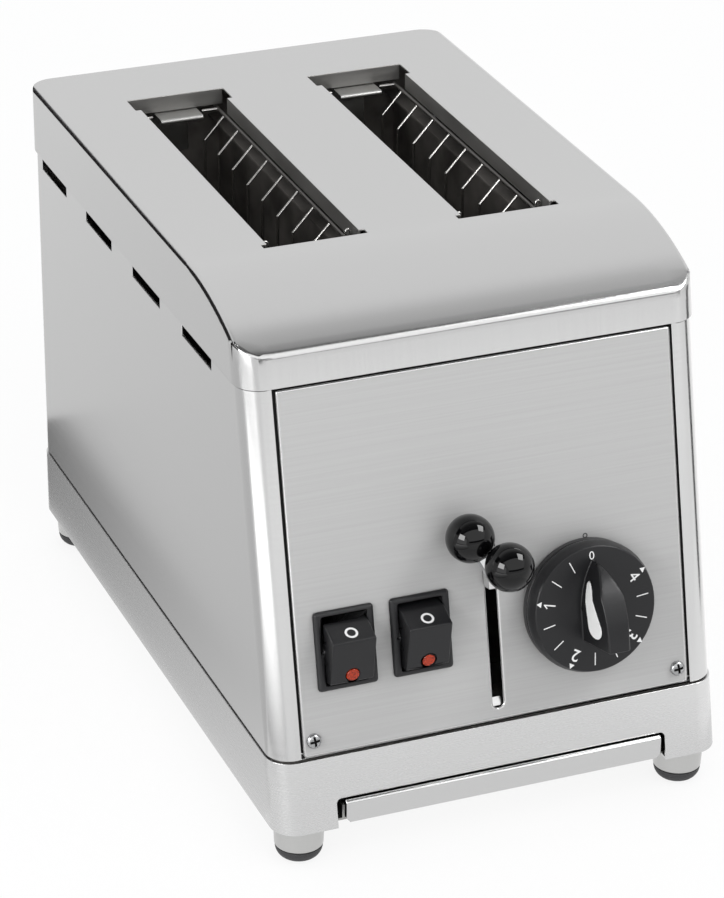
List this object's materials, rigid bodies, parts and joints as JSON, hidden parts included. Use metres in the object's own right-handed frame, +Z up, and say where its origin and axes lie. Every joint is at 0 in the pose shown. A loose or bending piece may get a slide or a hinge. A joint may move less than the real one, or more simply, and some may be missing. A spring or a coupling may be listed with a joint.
{
  "type": "two-slot lever toaster",
  "caption": "Commercial-style lever toaster in folded stainless sheet with leaning panel, rocker switches, timer knob, wire-guarded bread slots, bread lift and crumb tray.",
  "frame": {"origin": "on the floor under the middle of the overall box", "axes": "+Z up, +Y from the control panel to the back, +X to the right seen from the panel"},
  "size_m": [0.1972, 0.3466, 0.226],
  "materials": {
    "casing_steel": "satin brushed stainless sheet",
    "inner_steel": "plain stainless sheet",
    "wire_steel": "bright drawn wire",
    "leg_steel": "turned and polished stainless",
    "screw_steel": "plated screw",
    "rod_chrome": "polished chrome",
    "cap_rubber": "matt moulded rubber",
    "switch_plastic": "fine matt moulding",
    "rocker_plastic": "semi-matt moulding",
    "lens_orange": "clear orange lens",
    "knob_plastic": "semi-matt moulding",
    "marker_white": "white inlay",
    "ball_plastic": "polished thermoset",
    "carriage_alloy": "milled bar",
    "bush_nylon": "natural nylon",
    "tube_ceramic": "dark heating tube with ceramic ends",
    "timer_case": "plated timer case",
    "terminal_ceramic": "glazed terminal block"
  },
  "bodies": {
    "casing": {"base_frame": "casing_steel", "chassis_deck": "inner_steel", "body_shell": "casing_steel", "back_panel": "casing_steel", "top_cover": "casing_steel", "front_panel": "casing_steel", "panel_screws": "screw_steel", "back_screws": "screw_steel", "tray_rails": "inner_steel", "leg_front_left": "leg_steel", "leg_front_right": "leg_steel", "leg_back_left": "leg_steel", "leg_back_right": "leg_steel", "foot_cap_front_left": "cap_rubber", "foot_cap_front_right": "cap_rubber", "foot_cap_back_left": "cap_rubber", "foot_cap_back_right": "cap_rubber", "leg_nuts": "screw_steel", "front_bulkhead": "inner_steel", "rear_bulkhead": "inner_steel", "slot_brackets": "inner_steel", "reflector_left_outer": "inner_steel", "reflector_left_inner": "inner_steel", "reflector_right_inner": "inner_steel", "reflector_right_outer": "inner_steel", "heater_left_outer": "tube_ceramic", "heater_left_inner": "tube_ceramic", "heater_right_inner": "tube_ceramic", "heater_right_outer": "tube_ceramic", "guard_left_outer": "wire_steel", "guard_left_inner": "wire_steel", "guard_right_inner": "wire_steel", "guard_right_outer": "wire_steel", "guide_rods": "rod_chrome", "guide_foot": "inner_steel", "guide_bridge": "inner_steel", "rocker_housing_left": "switch_plastic", "rocker_housing_right": "switch_plastic", "timer_body": "timer_case", "terminal_block": "terminal_ceramic", "cord_gland": "switch_plastic"},
    "lift": {"lift_carriage": "carriage_alloy", "guide_bushes": "bush_nylon", "lift_arm": "inner_steel", "handle_rods": "rod_chrome", "ball_knob_inner": "ball_plastic", "ball_knob_outer": "ball_plastic", "bread_rack_left": "wire_steel", "bread_rack_right": "wire_steel"},
    "switch_left": {"rocker_left": "rocker_plastic", "rocker_lens_left": "lens_orange"},
    "switch_right": {"rocker_right": "rocker_plastic", "rocker_lens_right": "lens_orange"},
    "timer": {"timer_knob": "knob_plastic", "knob_marker": "marker_white", "timer_shaft": "screw_steel"},
    "tray": {"crumb_tray": "casing_steel"}
  },
  "joints": [
    {"name": "lift_slide", "type": "slide", "parent": "casing", "child": "lift", "axis": [0, -0.2122, -0.9772], "range_m": [0, 0.048]},
    {"name": "switch_left_rock", "type": "hinge", "parent": "casing", "child": "switch_left", "pos_m": [-0.0638, -0.1381, 0.08992], "axis": [1, 0, 0], "range_deg": [0, 16]},
    {"name": "switch_right_rock", "type": "hinge", "parent": "casing", "child": "switch_right", "pos_m": [-0.0314, -0.1381, 0.08992], "axis": [1, 0, 0], "range_deg": [0, 16]},
    {"name": "timer_turn", "type": "hinge", "parent": "casing", "child": "timer", "pos_m": [0.04, -0.1425, 0.09087], "axis": [0, 0.9772, -0.2122], "range_deg": [0, 300]},
    {"name": "tray_slide", "type": "slide", "parent": "casing", "child": "tray", "axis": [0, -1, 0], "range_m": [0, 0.2]}
  ]
}
